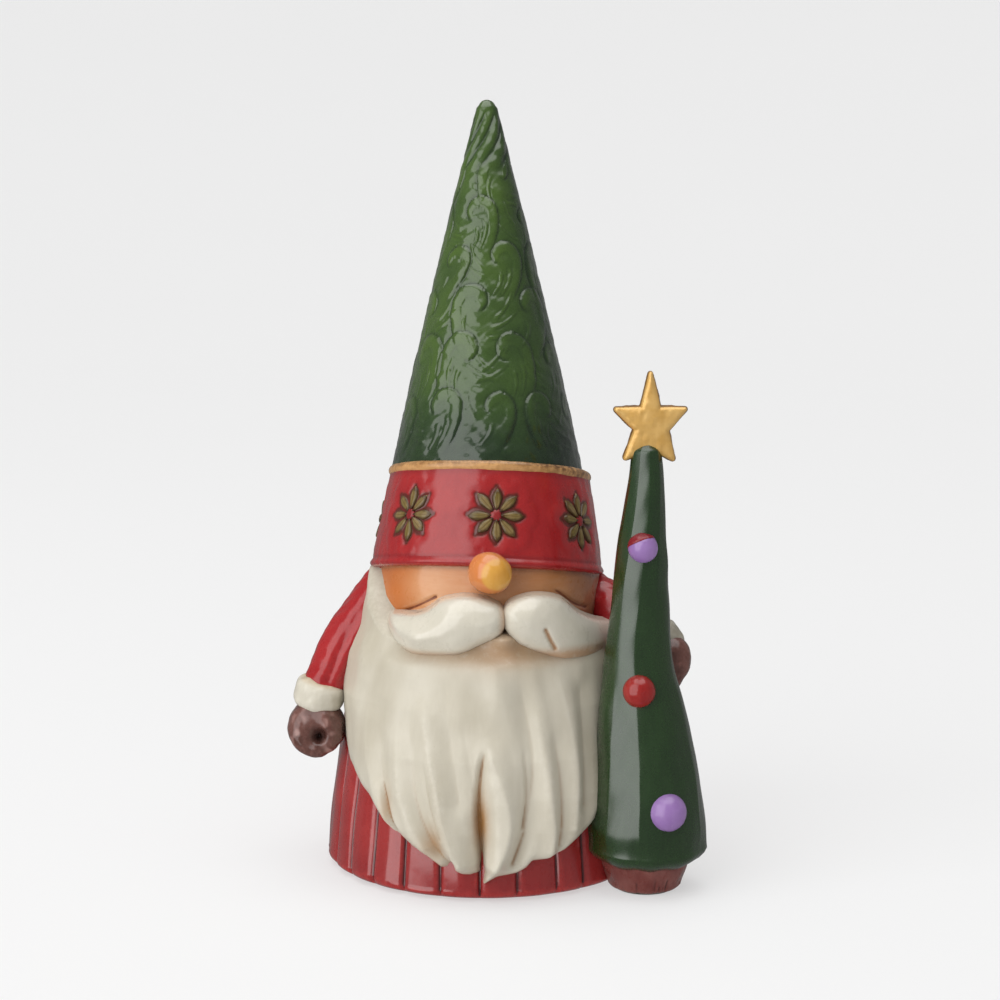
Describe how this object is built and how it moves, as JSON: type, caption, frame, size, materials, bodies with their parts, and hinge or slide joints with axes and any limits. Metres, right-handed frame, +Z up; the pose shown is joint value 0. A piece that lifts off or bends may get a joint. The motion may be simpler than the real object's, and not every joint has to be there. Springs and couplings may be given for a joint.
{
  "type": "gnome figurine",
  "caption": "Bearded gnome figurine in painted cast resin with a tall cone hat, standing beside a small potted tree topped with a star.",
  "frame": {"origin": "centre of the robe's round foot, on the surface that the figurine stands on", "axes": "+Z up, towards the hat's tip; -Y out of the gnome's face; +X towards the tree, at the gnome's left hand"},
  "size_m": [0.0802, 0.0673, 0.1515],
  "materials": {
    "felt": "matte",
    "base_resin": "matte",
    "robe_red": "gloss",
    "sleeve_red": "gloss",
    "wood": "satin",
    "steel": "satin",
    "skin": "gloss",
    "nose_gold": "gloss",
    "beard_cream": "gloss",
    "band_red": "gloss",
    "flower_olive": "satin",
    "flower_centre_red": "gloss",
    "cord_gold": "gloss",
    "hat_green": "gloss",
    "cuff_cream": "gloss",
    "mitten_brown": "gloss",
    "pot_brown": "gloss",
    "tree_green": "gloss",
    "star_gold": "gloss",
    "ball_purple": "gloss",
    "ball_red": "gloss"
  },
  "bodies": {
    "root": {"base_felt": "felt", "base_plate": "base_resin", "robe_shell": "robe_red", "neck_dowel": "wood", "head_block": "skin", "nose": "nose_gold", "beard": "beard_cream", "moustache_right": "beard_cream", "moustache_left": "beard_cream", "hat_band": "band_red", "band_flowers": "flower_olive", "flower_centres": "flower_centre_red", "hat_cord": "cord_gold", "hat_cone": "hat_green", "shoulder_pins": "steel", "wrist_pins": "steel", "sleeve_right": "sleeve_red", "cuff_right": "cuff_cream", "mitten_right": "mitten_brown", "sleeve_left": "sleeve_red", "cuff_left": "cuff_cream", "mitten_left": "mitten_brown", "tree_pot": "pot_brown", "pot_felt": "felt", "tree_dowel": "wood", "tree_cone": "tree_green", "star_pin": "steel", "tree_star": "star_gold", "purple_balls": "ball_purple", "red_ball": "ball_red", "ball_cap": "ball_red"}
  },
  "joints": []
}
